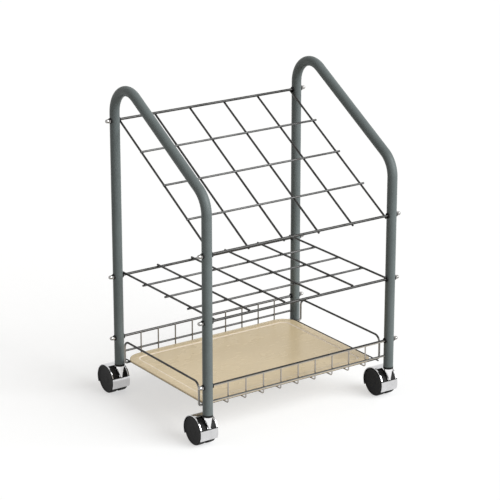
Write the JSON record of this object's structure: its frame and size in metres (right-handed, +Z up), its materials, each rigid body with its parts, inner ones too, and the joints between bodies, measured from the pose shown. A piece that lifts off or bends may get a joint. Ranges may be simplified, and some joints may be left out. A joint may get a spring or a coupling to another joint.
{
  "type": "wire roll file",
  "caption": "Rolling floor file for rolled drawings: bent tube side frames, a sloped and a level wire grid, and a wire basket with a loose tray on twin-wheel swivel casters.",
  "frame": {"origin": "On the floor, at the centre of the rectangle through the four post axes.", "axes": "+Z up, +Y towards the high back edge, +X to the right as seen from the low front edge."},
  "size_m": [0.456, 0.3682, 0.621],
  "materials": {
    "frame_paint": "satin",
    "wire_chrome": "bright",
    "nut_chrome": "bright",
    "hood_chrome": "bright",
    "pin_steel": "turned",
    "washer_plastic": "matte",
    "socket_plastic": "matte",
    "wheel_plastic": "satin",
    "tray_plastic": "gloss"
  },
  "bodies": {
    "chassis": {"left_side_frame": "frame_paint", "right_side_frame": "frame_paint", "upper_grid_end_rods": "wire_chrome", "upper_grid_cross_wires": "wire_chrome", "upper_grid_slope_wires": "wire_chrome", "middle_grid_end_rods": "wire_chrome", "middle_grid_cross_wires": "wire_chrome", "middle_grid_depth_wires": "wire_chrome", "basket_top_rails": "wire_chrome", "basket_lower_rails": "wire_chrome", "basket_cradle_wires": "wire_chrome", "basket_base_wires": "wire_chrome", "basket_left_hoop": "wire_chrome", "basket_right_hoop": "wire_chrome", "basket_end_wires": "wire_chrome", "tray": "tray_plastic", "left_saddle_washers": "washer_plastic", "right_saddle_washers": "washer_plastic", "left_cap_nuts": "nut_chrome", "right_cap_nuts": "nut_chrome", "caster_sockets": "socket_plastic"},
    "front_left_caster": {"front_left_caster_stem": "pin_steel", "front_left_caster_grip_ring": "pin_steel", "front_left_caster_hood": "hood_chrome", "front_left_caster_axle": "pin_steel"},
    "front_left_left_wheel": {"front_left_caster_left_wheel": "wheel_plastic"},
    "front_left_right_wheel": {"front_left_caster_right_wheel": "wheel_plastic"},
    "front_right_caster": {"front_right_caster_stem": "pin_steel", "front_right_caster_grip_ring": "pin_steel", "front_right_caster_hood": "hood_chrome", "front_right_caster_axle": "pin_steel"},
    "front_right_left_wheel": {"front_right_caster_left_wheel": "wheel_plastic"},
    "front_right_right_wheel": {"front_right_caster_right_wheel": "wheel_plastic"},
    "back_left_caster": {"back_left_caster_stem": "pin_steel", "back_left_caster_grip_ring": "pin_steel", "back_left_caster_hood": "hood_chrome", "back_left_caster_axle": "pin_steel"},
    "back_left_left_wheel": {"back_left_caster_left_wheel": "wheel_plastic"},
    "back_left_right_wheel": {"back_left_caster_right_wheel": "wheel_plastic"},
    "back_right_caster": {"back_right_caster_stem": "pin_steel", "back_right_caster_grip_ring": "pin_steel", "back_right_caster_hood": "hood_chrome", "back_right_caster_axle": "pin_steel"},
    "back_right_left_wheel": {"back_right_caster_left_wheel": "wheel_plastic"},
    "back_right_right_wheel": {"back_right_caster_right_wheel": "wheel_plastic"}
  },
  "joints": [
    {"name": "front_left_caster_swivel", "type": "hinge", "parent": "chassis", "child": "front_left_caster", "pos_m": [-0.2075, -0.1525, 0.06], "axis": [0, 0, 1], "continuous": true},
    {"name": "front_left_left_wheel_roll", "type": "hinge", "parent": "front_left_caster", "child": "front_left_left_wheel", "pos_m": [-0.2075, -0.129, 0.0275], "axis": [1, 0, 0], "continuous": true},
    {"name": "front_left_right_wheel_roll", "type": "hinge", "parent": "front_left_caster", "child": "front_left_right_wheel", "pos_m": [-0.2075, -0.129, 0.0275], "axis": [1, 0, 0], "continuous": true},
    {"name": "front_right_caster_swivel", "type": "hinge", "parent": "chassis", "child": "front_right_caster", "pos_m": [0.2075, -0.1525, 0.06], "axis": [0, 0, 1], "continuous": true},
    {"name": "front_right_left_wheel_roll", "type": "hinge", "parent": "front_right_caster", "child": "front_right_left_wheel", "pos_m": [0.2075, -0.129, 0.0275], "axis": [1, 0, 0], "continuous": true},
    {"name": "front_right_right_wheel_roll", "type": "hinge", "parent": "front_right_caster", "child": "front_right_right_wheel", "pos_m": [0.2075, -0.129, 0.0275], "axis": [1, 0, 0], "continuous": true},
    {"name": "back_left_caster_swivel", "type": "hinge", "parent": "chassis", "child": "back_left_caster", "pos_m": [-0.2075, 0.1525, 0.06], "axis": [0, 0, 1], "continuous": true},
    {"name": "back_left_left_wheel_roll", "type": "hinge", "parent": "back_left_caster", "child": "back_left_left_wheel", "pos_m": [-0.2075, 0.176, 0.0275], "axis": [1, 0, 0], "continuous": true},
    {"name": "back_left_right_wheel_roll", "type": "hinge", "parent": "back_left_caster", "child": "back_left_right_wheel", "pos_m": [-0.2075, 0.176, 0.0275], "axis": [1, 0, 0], "continuous": true},
    {"name": "back_right_caster_swivel", "type": "hinge", "parent": "chassis", "child": "back_right_caster", "pos_m": [0.2075, 0.1525, 0.06], "axis": [0, 0, 1], "continuous": true},
    {"name": "back_right_left_wheel_roll", "type": "hinge", "parent": "back_right_caster", "child": "back_right_left_wheel", "pos_m": [0.2075, 0.176, 0.0275], "axis": [1, 0, 0], "continuous": true},
    {"name": "back_right_right_wheel_roll", "type": "hinge", "parent": "back_right_caster", "child": "back_right_right_wheel", "pos_m": [0.2075, 0.176, 0.0275], "axis": [1, 0, 0], "continuous": true}
  ]
}
